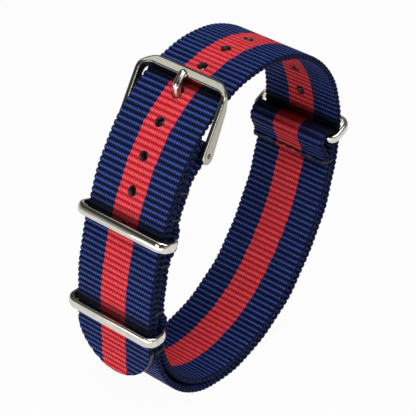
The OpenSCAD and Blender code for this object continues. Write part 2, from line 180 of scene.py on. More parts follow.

# Colours as a screen shows them
# The crest colours carry a painted highlight, and the gap colours painted shade between the ribs
LIT_CREST_BLUE, LIT_CREST_RED = (66, 95, 180), (255, 96, 106)
SHADED_GAP_BLUE, SHADED_GAP_RED = (3, 7, 36), (180, 15, 29)
# Painted shade where the metal shadows the webbing and in the crevice over the ring's fold
METAL_SHADE_BLUE, METAL_SHADE_RED = (4, 4, 12), (74, 5, 14)
BRIGHT_STEEL = (216, 213, 202)
SATIN_STEEL = (172, 170, 158)
WORN_STEEL = (168, 164, 154)
# Painted shade on the sides of the buckle's arms that face the webbing
INSIDE_SHADE_STEEL = (60, 56, 49)
# Painted shade for the spring bar's tips, seen deep in the arms' bores
TIP_SHADE_STEEL = (52, 48, 42)


def arc_pair(along, across, first):
    """Radii and turns of two tangent arcs that make a quarter turn. The first turns by first degrees."""
    a = math.radians(first)
    det = (1 - math.cos(a)) * (1 - math.sin(a)) - math.sin(a) * math.cos(a)
    first_r = (across * (1 - math.sin(a)) - along * math.cos(a)) / det
    second_r = (along * (1 - math.cos(a)) - across * math.sin(a)) / det
    return [(first_r, a), (second_r, math.pi / 2 - a)]


def ahead(h):
    return np.array([math.sin(h), math.cos(h)])


def inward(h):
    return np.array([math.cos(h), -math.sin(h)])


MID_D = PLY_T + TAIL_GAP
FOLD_R = TUBE_R + FOLD_GAP
PIN_D = MID_D + PLY_T + FOLD_R
EYE_R = math.hypot(END_W, END_T) / 2 + EYE_GAP
ARCS = (
    arc_pair(LOOP_H - FRONT_Z, CROWN_Y, FRONT_TURN)
    + arc_pair(LOOP_D - CROWN_Y, LOOP_H - BACK_Z, EVEN_TURN)
    + arc_pair(BACK_Z, LOOP_D - FOOT_Y, EVEN_TURN)
    + arc_pair(FOOT_Y - MID_D, FRONT_Z, EVEN_TURN)
)


def go_on(place, r, length):
    point, h = place
    turned = h + length / r
    return point + r * (inward(h) - inward(turned)), turned


def arc_starts():
    """Distance along the loop, point and heading at the start of each arc, and at the loop's end."""
    starts = [(0.0, (np.array([strap_low.y, FRONT_Z]), 0.0))]
    for r, turn in ARCS:
        s, place = starts[-1]
        starts.append((s + r * turn, go_on(place, r, r * turn)))
    return starts


STARTS = arc_starts()
LOOP_L = STARTS[-1][0]
BACK_S = STARTS[4][0]


def place_at(s):
    """Point and heading at a distance along the loop's outline, which is the outer face of its outer ply."""
    if s <= 0:
        return STARTS[0][1][0] + np.array([0, s]), 0.0
    i = max(k for k in range(len(ARCS)) if s >= STARTS[k][0])
    return go_on(STARTS[i][1], ARCS[i][0], s - STARTS[i][0])


def at(s, depth):
    point, h = place_at(s)
    return point + depth * inward(h)


def run(u, depth):
    """The same along the whole main strap, whose second pass up the front lies under the tail."""
    if u <= LOOP_L:
        return at(u, depth)
    return at(u - LOOP_L, depth + MID_D)


def ease(t):
    return (1 - math.cos(math.pi * min(1, max(0, t)))) / 2


def swell(u, centre, flat, ramp):
    return ease((flat + ramp - abs(u - centre)) / ramp)


POCKET_FLAT = KEEPER_W / 2 + POCKET_ROOM
POCKET_GAP = KEEPER_T + 2 * KEEPER_GAP
SEAM_OFF = POCKET_FLAT + POCKET_RAMP + ROW_OFF
FOLD_SEAM_S = PIN_S - FOLD_RAMP - ROW_OFF
JOIN_S = UPPER_S - SEAM_OFF - JOIN_OFF
END_S = BACK_S + END_DROP
PIN_C = at(PIN_S, PIN_D)
END_BAR_D = 2 * PLY_T + END_GAP + EYE_R
END_REACH = END_T / 2 * math.cos(END_TILT) + END_W / 2 * math.sin(END_TILT)
END_CC = (END_BAR_D + END_OFF + END_REACH) / math.cos(END_TILT)
END_C = at(END_S, END_BAR_D)
HOLE_S = PIN_S + BAR_REACH - HOLE_OFF
HEEL_S = HOLE_S - HEEL_OFF


def ply_gap(u):
    """Gap under the main strap: open at the spring bar, the keepers' back bars and the watch's bars."""
    f = u - LOOP_L
    return (
        SEAM_GAP
        + (POCKET_GAP - SEAM_GAP) * swell(f, UPPER_S, POCKET_FLAT, POCKET_RAMP)
        + (POCKET_GAP - SEAM_GAP) * swell(f, LOWER_S, POCKET_FLAT, POCKET_RAMP)
        + (2 * FOLD_R - SEAM_GAP) * swell(f, PIN_S, 0, FOLD_RAMP)
        + (PASS_GAP - SEAM_GAP) * ease((LOWER_S - SEAM_OFF - PASS_OFF - f) / PASS_RAMP)
        + (END_GAP - PASS_GAP) * ease((END_S + END_FLAT + END_RAMP - u) / END_RAMP)
    )


def end_ply_gap(u):
    return SEAM_GAP + (2 * EYE_R - SEAM_GAP) * ease((END_S + END_FOLD_RAMP - u) / END_FOLD_RAMP)


def span(a, b):
    return np.linspace(a, b, round(abs(b - a) / PATH_STEP) + 1)


def fold(centre, h, r, way):
    """Points of a half turn round a bar."""
    turns = np.radians(np.arange(10, 171, 10))
    return [centre + r * (way * math.sin(a) * ahead(h) - math.cos(a) * inward(h)) for a in turns]


class Path:
    """A line in the plane x = 0 that the middle of a ply follows, measured from its start."""

    def __init__(self, points):
        self.line = np.array(points)
        steps = np.linalg.norm(np.diff(self.line, axis=0), axis=1)
        self.t = np.concatenate([[0], np.cumsum(steps)])
        self.ahead = np.gradient(self.line, self.t, axis=0)

    def length(self):
        return self.t[-1]

    def place(self, t):
        """Points and unit headings at the distances t. Past either end the line runs on straight."""
        held = np.clip(t, 0, self.length())
        point = np.stack([np.interp(held, self.t, self.line[:, k]) for k in (0, 1)], 1)
        way = np.stack([np.interp(held, self.t, self.ahead[:, k]) for k in (0, 1)], 1)
        way /= np.linalg.norm(way, axis=1)[:, None]
        return point + way * (t - held)[:, None], way


MAIN_US = span(-TAIL_REACH, LOOP_L + PIN_S)
main_path = Path(
    [run(u, PLY_T / 2) for u in MAIN_US]
    + fold(PIN_C, place_at(PIN_S)[1], FOLD_R + PLY_T / 2, 1)
    + [run(u, 1.5 * PLY_T + ply_gap(u)) for u in span(LOOP_L + PIN_S, LOOP_L + JOIN_S)]
)
short_path = Path(
    [run(u, 1.5 * PLY_T + ply_gap(u)) for u in span(LOOP_L + JOIN_S - BUTT_GAP, END_S)]
    + fold(END_C, place_at(END_S)[1], EYE_R + PLY_T / 2, -1)
    + [run(u, 2.5 * PLY_T + ply_gap(u) + end_ply_gap(u)) for u in span(END_S, END_S + END_L)]
)

SHORT_FOLD_T = short_path.t[len(span(LOOP_L + JOIN_S - BUTT_GAP, END_S)) - 1]


def main_t(u):
    """Distance along the main strap's own middle of a place u along the outline."""
    return np.interp(u, MAIN_US, main_path.t[: len(MAIN_US)])


# Modelling by hand, in code


def alone(piece):
    bpy.ops.object.select_all(action="DESELECT")
    piece.select_set(True)
    bpy.context.view_layer.objects.active = piece


def new_piece(name):
    """The primitive that was just added, named, with its place in its mesh."""
    piece = bpy.context.object
    piece.name = name
    piece.data.name = name
    alone(piece)
    bpy.ops.object.transform_apply(location=True, rotation=True, scale=True)
    return piece


def pick(piece, kind, wanted):
    """In edit mode, selects the verts, edges or faces for which wanted is true."""
    bpy.ops.mesh.select_mode(type={"verts": "VERT", "edges": "EDGE", "faces": "FACE"}[kind])
    bpy.ops.mesh.select_all(action="DESELECT")
    shape = bmesh.from_edit_mesh(piece.data)
    for part in getattr(shape, kind):
        if wanted(part):
            part.select_set(True)
    shape.select_flush_mode()
    bmesh.update_edit_mesh(piece.data)


def edit(piece):
    alone(piece)
    bpy.ops.object.mode_set(mode="EDIT")


def done():
    bpy.ops.object.mode_set(mode="OBJECT")


def finish_with(piece, kind, **values):
    """Adds a modifier and applies it."""
    alone(piece)
    modifier = piece.modifiers.new(kind.lower(), kind)
    for name, value in values.items():
        setattr(modifier, name, value)
    bpy.ops.object.modifier_apply(modifier=modifier.name)


def joined(pieces, name):
    alone(pieces[0])
    for piece in pieces:
        piece.select_set(True)
    if len(pieces) > 1:
        bpy.ops.object.join()
    whole = bpy.context.object
    whole.name = name
    whole.data.name = name
    return whole


def copied(piece, matrix):
    """A copy with its own mesh, moved by matrix."""
    other = piece.copy()
    other.data = piece.data.copy()
    bpy.context.scene.collection.objects.link(other)
    other.data.transform(matrix)
    return other


def points_of(piece):
    points = np.empty(len(piece.data.vertices) * 3)
    piece.data.vertices.foreach_get("co", points)
    return points.reshape(-1, 3)


def lay_along(piece, path):
    """Bends a flat piece, which lies along +Y with its outer side up, to a path."""
    flat = points_of(piece)
    middle, way = path.place(flat[:, 1])
    up = np.stack([-way[:, 1], way[:, 0]], 1)
    bent = middle + up * flat[:, 2:3]
    piece.data.vertices.foreach_set("co", np.column_stack([flat[:, 0], bent]).ravel())
    piece.data.update()


def smooth(piece, angle=35):
    alone(piece)
    bpy.ops.object.shade_smooth_by_angle(angle=math.radians(angle))


# Webbing


def flat_webbing(name, length):
    """A flat band of webbing along +Y from y = 0, with a round rib across it at every pitch."""
    ribs = round(length / RIB_PITCH)
    pitch = length / ribs
    bpy.ops.mesh.primitive_cube_add(
        size=1, location=(0, pitch / 2, 0), scale=(STRAP_W, pitch, PLY_T)
    )
    band = new_piece(name)
    edit(band)
    pick(band, "faces", lambda f: abs(f.normal.y) > 0.9)
    bpy.ops.mesh.delete(type="ONLY_FACE")
    pick(band, "edges", lambda e: abs(e.verts[0].co.y - e.verts[1].co.y) > pitch / 2)
    bpy.ops.mesh.bevel(offset=EDGE_ROUND, segments=2, affect="EDGES")
    for column in range(-COLUMNS_A_SIDE, COLUMNS_A_SIDE + 1):
        bpy.ops.mesh.select_all(action="SELECT")
        bpy.ops.mesh.bisect(plane_co=(column * COLUMN_W, 0, 0), plane_no=(1, 0, 0))
    for share in RIB_STEPS:
        bpy.ops.mesh.select_all(action="SELECT")
        bpy.ops.mesh.bisect(plane_co=(0, share * pitch, 0), plane_no=(0, 1, 0))
    for share in (0, *RIB_STEPS, 1):
        low = (1 - math.sin(math.pi * share)) ** RIB_ROUNDNESS
        pick(band, "verts", lambda v: abs(v.co.y - share * pitch) < 0.02 * pitch)
        bpy.ops.transform.resize(
            value=(1 - RIB_NARROWING * low, 1, 1 - RIB_DIP * low), center_override=(0, share * pitch, 0)
        )
    done()
    finish_with(
        band, "ARRAY", count=ribs, use_relative_offset=False, use_constant_offset=True,
        constant_offset_displace=(0, pitch, 0), use_merge_vertices=True, merge_threshold=0.02 * MM,
    )
    edit(band)
    bpy.ops.mesh.select_all(action="SELECT")
    bpy.ops.mesh.fill_holes(sides=0)
    bpy.ops.mesh.normals_make_consistent(inside=False)
    done()
    return band, pitch


def cylinder(r, depth, place, vertices=32):
    bpy.ops.mesh.primitive_cylinder_add(vertices=vertices, radius=r, depth=depth, location=place)
    return new_piece("cutter")


def box(size, place):
    bpy.ops.mesh.primitive_cube_add(size=1, location=place, scale=size)
    return new_piece("cutter")


def cut(piece, cutters):
    """Cuts all the cutters from a closed piece at once."""
    tool = joined(cutters, "cutters")
    finish_with(piece, "BOOLEAN", operation="DIFFERENCE", object=tool, solver="MANIFOLD")
    bpy.data.objects.remove(tool)


def tip_point(turn):
    """Place on the flat webbing of a point of the tip's outline, a little more pointed than an ellipse."""
    c, s = math.cos(turn), max(0.0, math.sin(turn))
    x = -math.copysign(abs(c) ** TIP_POWER, c) * STRAP_W / 2
    return np.array([x, TIP_L * (1 - s ** TIP_POWER)])


def tip_place(turn, out=0.0):
    """The same, moved out from the outline by a distance."""
    nearby = 0.01
    step = tip_point(min(turn + nearby, math.pi)) - tip_point(max(turn - nearby, 0))
    away = np.array([-step[1], step[0]]) / np.linalg.norm(step)
    return tip_point(turn) - out * away


def tip_cutter():
    """What is cut away beside the tail's rounded tip."""
    over = 2 * MM
    behind = 5 * MM
    block = box((STRAP_W + 2 * over, TIP_L + over, 4 * PLY_T), (0, (TIP_L - over) / 2, 0))
    round_tip = cylinder(1, 6 * PLY_T, (0, 0, 0), 160)
    points = points_of(round_tip)
    for point in points:
        turn = math.atan2(-point[1], -point[0])
        if turn > 0:
            point[:2] = tip_point(turn)
        else:
            point[:2] = point[0] * STRAP_W / 2, TIP_L + point[1] * behind
    round_tip.data.vertices.foreach_set("co", points.ravel())
    finish_with(block, "BOOLEAN", operation="DIFFERENCE", object=round_tip, solver="MANIFOLD")
    bpy.data.objects.remove(round_tip)
    return block


def hole_places():
    """Distance along the main strap and stretch of each hole of the tail."""
    places = [(main_t(HOLE_S + i * HOLE_PITCH), 1) for i in range(-HOLES_BEFORE, HOLES_AFTER + 1) if i]
    drawn = main_t((HEEL_S + HOLE_S) / 2 + DRAWN_OFF)
    return places + [(drawn, DRAWN_STRETCH)]


def map_weave(band, pitch):
    """The band's own map: millimetres across it, and ribs along it."""
    layer = band.data.uv_layers.active or band.data.uv_layers.new(name="weave")
    layer.name = "weave"
    corners = np.empty(len(band.data.loops), int)
    band.data.loops.foreach_get("vertex_index", corners)
    flat = points_of(band)[corners]
    layer.uv.foreach_set("vector", np.column_stack([flat[:, 0] / MM, flat[:, 1] / pitch]).ravel())


def shade_beside_metal(band, zones):
    """Marks, from 0 to 1, painted shade beside the metal that bears on the webbing, standing for its shadows
    there.

    A zone has the place along the band where it starts, its shade, whose reach may be negative for the other
    way along, and the side of the band that it is on, 1 for the outer side."""
    flat = points_of(band)
    amount = np.zeros(len(flat))
    for start, (full, reach), side in zones:
        off = (flat[:, 1] - start) * math.copysign(1, reach)
        fading = np.clip((abs(reach) - off) / (abs(reach) - full), 0, 1)
        painted_shade = np.where(off > -KEEPER_W / 2, fading, 0)
        amount = np.maximum(amount, np.where(flat[:, 2] * side > 0, painted_shade, 0))
    layer = band.data.attributes.new("shade_beside_metal", "FLOAT", "POINT")
    layer.data.foreach_set("value", np.ascontiguousarray(amount, dtype=np.float32))


def unevenness(band):
    """Slight waves of the edges and ribs, as real webbing has."""
    flat = points_of(band)
    x, y = flat[:, 0], flat[:, 1]
    flat[:, 0] += EDGE_WAVE * x / (STRAP_W / 2) * (np.sin(y / (3.1 * MM)) + np.sin(y / (1.7 * MM) + 1))
    flat[:, 1] += RIB_WAVE * np.sin(x / (4.3 * MM) + y / (9 * MM))
    band.data.vertices.foreach_set("co", flat.ravel())


def main_strap():
    """The long webbing, with its rounded tip, its holes and the slot for the tongue's eye in its fold."""
    band, pitch = flat_webbing("main_webbing", main_path.length())
    cutters = [tip_cutter()]
    for t, stretch in hole_places():
        hole = cylinder(HOLE_D / 2, 4 * PLY_T, (0, 0, 0))
        hole.data.transform(Matrix.Translation((0, t, 0)) @ Matrix.Diagonal((1, stretch, 1, 1)))
        cutters.append(hole)
    turn = (FOLD_R + PLY_T / 2) * math.pi / 2
    bar_t = main_t(LOOP_L + PIN_S) + turn
    cutters.append(box((SLOT_W, 2 * turn + SLOT_OVER, 4 * PLY_T), (0, bar_t, 0)))
    cut(band, cutters)
    unevenness(band)
    map_weave(band, pitch)
    # Painted shade where the keepers, the buckle's bar and the ring shadow the webbing
    shade_beside_metal(band, [
        (main_t(UPPER_S + KEEPER_W / 2), UPPER_SHADE, 1),
        (main_t(LOWER_S + KEEPER_W / 2), LOWER_SHADE, 1),
        (main_t(PIN_S + BAR_REACH - BAR_L / 2), BUCKLE_SHADE, 1),
        (main_t(END_S - EYE_R), RING_SHADE, -1),
    ])
    lay_along(band, main_path)
    smooth(band, 50)
    return band


def short_strap():
    """The short webbing under it, which folds round the end ring."""
    band, pitch = flat_webbing("short_webbing", short_path.length())
    unevenness(band)
    map_weave(band, pitch)
    # Painted shade in the crevice over the fold round the ring, on both sides
    shade_beside_metal(band, [(SHORT_FOLD_T, FOLD_SHADE, side) for side in (-1, 1)])
    lay_along(band, short_path)
    smooth(band, 50)
    return band


def hole_seals_and_shade():
    """Melted lips that line the holes, each drawn in towards the inner side, so that their near-black walls
    stand as painted shade inside the holes.
    """
    seals = []
    for t, stretch in hole_places():
        bpy.ops.mesh.primitive_cylinder_add(
            vertices=40, radius=HOLE_D / 2 - SEAL_OFF, depth=SEAL_DEPTH, end_fill_type="NOTHING"
        )
        seal = new_piece("seal")
        edit(seal)
        pick(seal, "verts", lambda v: v.co.z < 0)
        bpy.ops.transform.resize(value=(SEAL_THROAT, SEAL_THROAT, 1), center_override=(0, 0, 0))
        done()
        finish_with(seal, "SOLIDIFY", thickness=SEAL_WALL, offset=0)
        finish_with(seal, "BEVEL", width=SEAL_ROUND, segments=2, limit_method="ANGLE")
        seal.data.transform(Matrix.Translation((0, t, 0)) @ Matrix.Diagonal((1, stretch, 1, 1)))
        seals.append(seal)
    whole = joined(seals, "hole_seals_and_shade")
    lay_along(whole, main_path)
    smooth(whole)
    return whole


def tip_seal():
    """Melted bead along the tail's cut tip."""
    bpy.ops.mesh.primitive_torus_add(
        major_segments=320, minor_segments=8, major_radius=1, minor_radius=BEAD_R
    )
    bead = new_piece("tip_seal")
    edit(bead)
    pick(bead, "verts", lambda v: v.co.y > 1 * MM)
    bpy.ops.mesh.delete(type="VERT")
    bpy.ops.mesh.select_all(action="SELECT")
    bpy.ops.mesh.fill_holes(sides=0)
    done()
    points = points_of(bead)
    for point in points:
        out = math.hypot(point[0], point[1]) - 1
        point[:2] = tip_place(max(0, math.atan2(-point[1], -point[0])), out - BEAD_R / 2)
    points[:, 2] *= BEAD_H / BEAD_R
    bead.data.vertices.foreach_set("co", points.ravel())
    lay_along(bead, main_path)
    smooth(bead)
    return bead


# Stitches


def stitch(length):
    """One stitch along X whose ends dip into the webbing below it."""
    bpy.ops.mesh.primitive_cylinder_add(
        vertices=10, radius=THREAD_R, depth=length, rotation=(0, math.pi / 2, 0)
    )
    piece = new_piece("stitch")
    edit(piece)
    for share in (-0.4, -0.25, 0, 0.25, 0.4):
        bpy.ops.mesh.select_all(action="SELECT")
        bpy.ops.mesh.bisect(plane_co=(share * length, 0, 0), plane_no=(1, 0, 0))
    done()
    points = points_of(piece)
    points[:, 2] -= STITCH_DIP * np.abs(points[:, 0] / (length / 2)) ** 3
    piece.data.vertices.foreach_set("co", points.ravel())
    return piece


def on_ply(s, depth, x, tilt=0.0):
    """Matrix that lays a stitch across the webbing at a place and depth under its outline."""
    point = at(s, depth)
    h = place_at(s)[1]
    out, way = inward(h), ahead(h)
    place = Matrix((
        (1, 0, 0, x), (0, way[0], out[0], point[0]), (0, way[1], out[1], point[1]), (0, 0, 0, 1)
    ))
    return place @ Matrix.Rotation(tilt, 4, "Z")


def stitch_row(name, u, d_out, d_in):
    """A row of stitches on the inner face, and one wrapped over each edge of the plies."""
    s, shift = (u, 0) if u <= LOOP_L else (u - LOOP_L, MID_D)
    pitch = STRAP_W / STITCHES
    one = stitch(STITCH_L)
    row = []
    for i in range(STITCHES):
        x = (i - (STITCHES - 1) / 2) * pitch
        tilt = STITCH_TILT * math.sin(3.7 * i + 1)
        row.append(copied(one, on_ply(s, d_in + shift + STITCH_LIFT, x, tilt)))
    wrap = stitch(d_in - d_out - WRAP_SHORT)
    wrap.data.transform(Matrix.Rotation(math.pi / 2, 4, "Y"))
    for side in (-1, 1):
        edge = copied(wrap, Matrix.Diagonal((side, 1, 1, 1)))
        edge.data.transform(on_ply(s, (d_out + d_in) / 2 + shift, side * (STRAP_W / 2 - WRAP_IN)))
        row.append(edge)
    bpy.data.objects.remove(one)
    bpy.data.objects.remove(wrap)
    whole = joined(row, name + "_thread")
    edit(whole)
    bpy.ops.mesh.select_all(action="SELECT")
    bpy.ops.mesh.normals_make_consistent(inside=False)
    done()
    smooth(whole, 60)
    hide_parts(name)
    return whole


def front_row(name, s):
    """A row up the front, which sews the main strap's second pass to the ply under it."""
    u = LOOP_L + s
    return stitch_row(name, u, 0, 2 * PLY_T + ply_gap(u))


def ring_row(name):
    """The row that sews the short strap's end to itself below the ring."""
    u = END_S + END_L - CUT_OFF
    return stitch_row(name, u, PLY_T + ply_gap(u), 3 * PLY_T + ply_gap(u) + end_ply_gap(u))


# Metal


def band_ring(name, node, clear, width, thick, corner_r, matrix):
    """A band bent into a ring round a clear space, its outer side domed and its rims rounded."""

    def upright(e):
        return abs(e.verts[0].co.z - e.verts[1].co.z) > width / 2

    outer = [c + 2 * thick for c in clear]
    rows = 3
    bpy.ops.mesh.primitive_cube_add(size=1, scale=(*outer, width))
    ring = new_piece(name)
    edit(ring)
    pick(ring, "edges", upright)
    bpy.ops.mesh.bevel(offset=min(corner_r, thick + 0.45 * clear[1]), segments=12, affect="EDGES")
    pick(ring, "faces", lambda f: abs(f.normal.z) > 0.9)
    bpy.ops.mesh.inset(thickness=thick)
    bpy.ops.mesh.bridge_edge_loops()
    pick(ring, "edges", upright)
    bpy.ops.mesh.subdivide(number_cuts=2 * rows - 1)
    for row in range(-rows, rows + 1):
        height = row / rows * width / 2
        low = DOME * (row / rows) ** 2
        pick(ring, "verts", lambda v: abs(v.co.z - height) < 0.05 * width and outside(v.co, outer, thick))
        bpy.ops.transform.resize(
            value=(1 - 2 * low / outer[0], 1 - 2 * low / outer[1], 1), center_override=(0, 0, 0)
        )
    bpy.ops.mesh.select_all(action="SELECT")
    bpy.ops.mesh.normals_make_consistent(inside=False)
    done()
    finish_with(ring, "BEVEL", width=RIM_R, segments=4, limit_method="ANGLE", angle_limit=math.radians(40))
    ring.data.transform(matrix)
    smooth(ring, 40)
    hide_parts(node)
    return ring


def outside(point, outer, thick):
    """Whether a point of a ring lies on its outer wall and not on its inner one."""
    x, y = (outer[0] / 2 - abs(point.x)) / thick, (outer[1] / 2 - abs(point.y)) / thick
    corner, corner_wall = 2.2, 1.7
    round_corner = math.hypot(max(0, corner - x), max(0, corner - y)) > corner_wall
    return x < 0.5 or y < 0.5 or round_corner


def ring_place(centre, h):
    """Matrix of a ring whose band's width lies along the heading h."""
    out, way = inward(h), ahead(h)
    return Matrix((
        (1, 0, 0, 0), (0, out[0], way[0], centre[0]), (0, out[1], way[1], centre[1]), (0, 0, 0, 1)
    ))


def keeper(name, node, s):
    """A keeper round the tail and the ply under it."""
    clear = (STRAP_W + 2 * KEEPER_SIDE, MID_D + PLY_T + KEEPER_GAP + KEEPER_OFF)
    centre = at(s, (MID_D + PLY_T + KEEPER_GAP - KEEPER_OFF) / 2)
    place = ring_place(centre, place_at(s)[1])
    return band_ring(name, node, clear, KEEPER_W, KEEPER_T, KEEPER_CORNER_R, place)


def end_ring(name, node):
    """The ring in the short strap's fold, tilted as it hangs round the main strap."""
    way = np.array([math.cos(END_TILT), math.sin(END_TILT)])
    clear = (STRAP_W + 2 * END_SIDE, END_CC - END_T)
    place = ring_place(END_C + way * END_CC / 2, -END_TILT)
    return band_ring(name, node, clear, END_W, END_T, END_CORNER_R, place)


def own_copy(node, name):
    """A clean copy of a CAD node, which it then stands for."""
    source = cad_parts[node]
    piece = source.copy()
    piece.data = source.data.copy()
    bpy.context.scene.collection.objects.link(piece)
    for key in list(piece.keys()):
        del piece[key]
    piece.parent = None
    piece.name = name
    piece.data.name = name
    edit(piece)
    bpy.ops.mesh.select_all(action="SELECT")
    bpy.ops.mesh.remove_doubles(threshold=0.002 * MM)
    bpy.ops.mesh.normals_make_consistent(inside=False)
    bpy.ops.mesh.dissolve_limited(angle_limit=math.radians(1))
    done()
    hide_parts(node)
    return piece


def buckle_bow():
    """The buckle's frame, its edges and bends worn round by tumbling."""
    piece = own_copy("buckle_frame", "buckle_bow")
    finish_with(piece, "REMESH", mode="VOXEL", voxel_size=BUCKLE_VOXEL)
    finish_with(piece, "SMOOTH", factor=0.5, iterations=BUCKLE_ROUNDING)
    smooth(piece, 60)
    return piece


def paint_inside_shade(piece):
    """Marks, from 0 to 1, the sides of the arms that face the webbing, where the steel takes a painted shade.
    """
    facing = [-point.normal.x * math.copysign(1, point.co.x) for point in piece.data.vertices]
    inside = np.interp(facing, (0.4, 0.8), (0, 1))
    layer = piece.data.attributes.new("inside", "FLOAT", "POINT")
    layer.data.foreach_set("value", inside.astype(np.float32))


def tongue():
    """The tongue's wire, a little fuller than the model's."""
    piece = own_copy("buckle_tongue", "tongue_wire")
    finish_with(piece, "DISPLACE", strength=TONGUE_EXTRA, mid_level=0)
    smooth(piece, 50)
    return piece


# Materials


class Nodes:
    """Short words for a node tree's nodes and links."""

    def __init__(self, tree):
        self.tree = tree

    def add(self, kind, **settings):
        node = self.tree.nodes.new("ShaderNode" + kind)
        for name, value in settings.items():
            setattr(node, name, value)
        return node

    def link(self, source, node, socket):
        """Feeds a socket from another node's output, or sets it to a value."""
        if isinstance(source, bpy.types.NodeSocket):
            self.tree.links.new(source, node.inputs[socket])
        else:
            node.inputs[socket].default_value = source

    def math(self, operation, a, b=0.0, c=0.0):
        node = self.add("Math", operation=operation)
        for i, value in enumerate((a, b, c)):
            self.link(value, node, i)
        return node.outputs[0]

    def ramp(self, value, low, high, to_low=0.0, to_high=1.0):
        node = self.add("MapRange", interpolation_type="SMOOTHSTEP")
        for name, entry in (("Value", value), ("From Min", low), ("From Max", high),
                            ("To Min", to_low), ("To Max", to_high)):
            self.link(entry, node, name)
        return node.outputs[0]

    def mix(self, share, a, b, blend="MIX"):
        node = self.add("Mix", data_type="RGBA", blend_type=blend)
        self.link(share, node, 0)
        self.link(a, node, 6)
        self.link(b, node, 7)
        return node.outputs[2]

    def noise(self, vector, scale, detail=2.0, roughness=0.5):
        node = self.add("TexNoise")
        self.link(vector, node, "Vector")
        self.link(scale, node, "Scale")
        self.link(detail, node, "Detail")
        self.link(roughness, node, "Roughness")
        return node.outputs[0]

    def mapped(self, vector, scale):
        node = self.add("Mapping")
        self.link(vector, node, "Vector")
        self.link(scale, node, "Scale")
        return node.outputs[0]

    def bump(self, height, distance, strength=1.0, normal=None):
        node = self.add("Bump")
        self.link(height, node, "Height")
        self.link(distance, node, "Distance")
        self.link(strength, node, "Strength")
        if normal:
            self.link(normal, node, "Normal")
        return node.outputs[0]


def colour(red, green, blue):
    """A colour as a screen shows it, from 0 to 255, in the renderer's own terms."""

    def linear(c):
        c /= 255
        return c / 12.92 if c <= 0.04045 else ((c + 0.055) / 1.055) ** 2.4

    return (linear(red), linear(green), linear(blue), 1.0)


def new_material(name):
    material = bpy.data.materials.new(name)
    material.use_nodes = True
    nodes = Nodes(material.node_tree)
    return material, nodes, material.node_tree.nodes["Principled BSDF"]


def weave(n):
    """Reads the webbing's own map: millimetres across, the rib's number, its height and its yarns' roundness.

    The yarns shift by half a yarn from one rib to the next."""
    place = n.add("SeparateXYZ")
    n.link(n.add("UVMap", uv_map="weave").outputs[0], place, 0)
    across, along = place.outputs[0], place.outputs[1]
    rib = n.math("FLOOR", along)
    height = n.math("MULTIPLY", n.math("PINGPONG", along, 0.5), 2.0)
    yarns = n.math("MULTIPLY", across, MM / YARN_W)
    yarn = n.math("MULTIPLY_ADD", n.math("MODULO", rib, 2.0), 0.5, yarns)
    round_yarn = n.math("MULTIPLY", n.math("PINGPONG", yarn, 0.5), 2.0)
    return across, rib, height, round_yarn


def red_stripe(n, across, chance):
    """1 on the red stripe, whose edges wander from rib to rib as chance says."""
    wander = n.math("MULTIPLY_ADD", chance, STRIPE_WANDER, -STRIPE_WANDER / 2)
    off_middle = n.math("ABSOLUTE", n.math("ADD", across, wander))
    return n.math("LESS_THAN", off_middle, STRIPE_W / 2 / MM)


def rib_light(n, height, round_yarn, red, coarse):
    """How light the webbing is: a rib's body, shaded towards its gaps as painted shade, its thin painted
    highlight on the crest, and ticks of yarn in the gaps.
    """
    crown = n.math("MULTIPLY_ADD", round_yarn, 0.4, n.math("MULTIPLY_ADD", coarse, 0.14, height))
    crown = n.math("MULTIPLY_ADD", red, 0.25, crown)
    body = n.math("MULTIPLY", n.ramp(crown, 0.55, 1.4), n.ramp(round_yarn, 0.0, 0.5, 0.42, 1.05))
    crest = n.math("MULTIPLY", n.ramp(height, 0.78, 1.0), n.ramp(round_yarn, 0.0, 0.4, 0.6, 1.0))
    tick = n.math("MULTIPLY", n.ramp(height, 0.55, 0.15), n.ramp(round_yarn, 0.55, 0.9))
    light = n.math("MULTIPLY_ADD", crest, CREST_LIGHT, n.math("MULTIPLY", body, BODY_LIGHT))
    return n.math("MULTIPLY_ADD", tick, TICK_LIGHT, light)


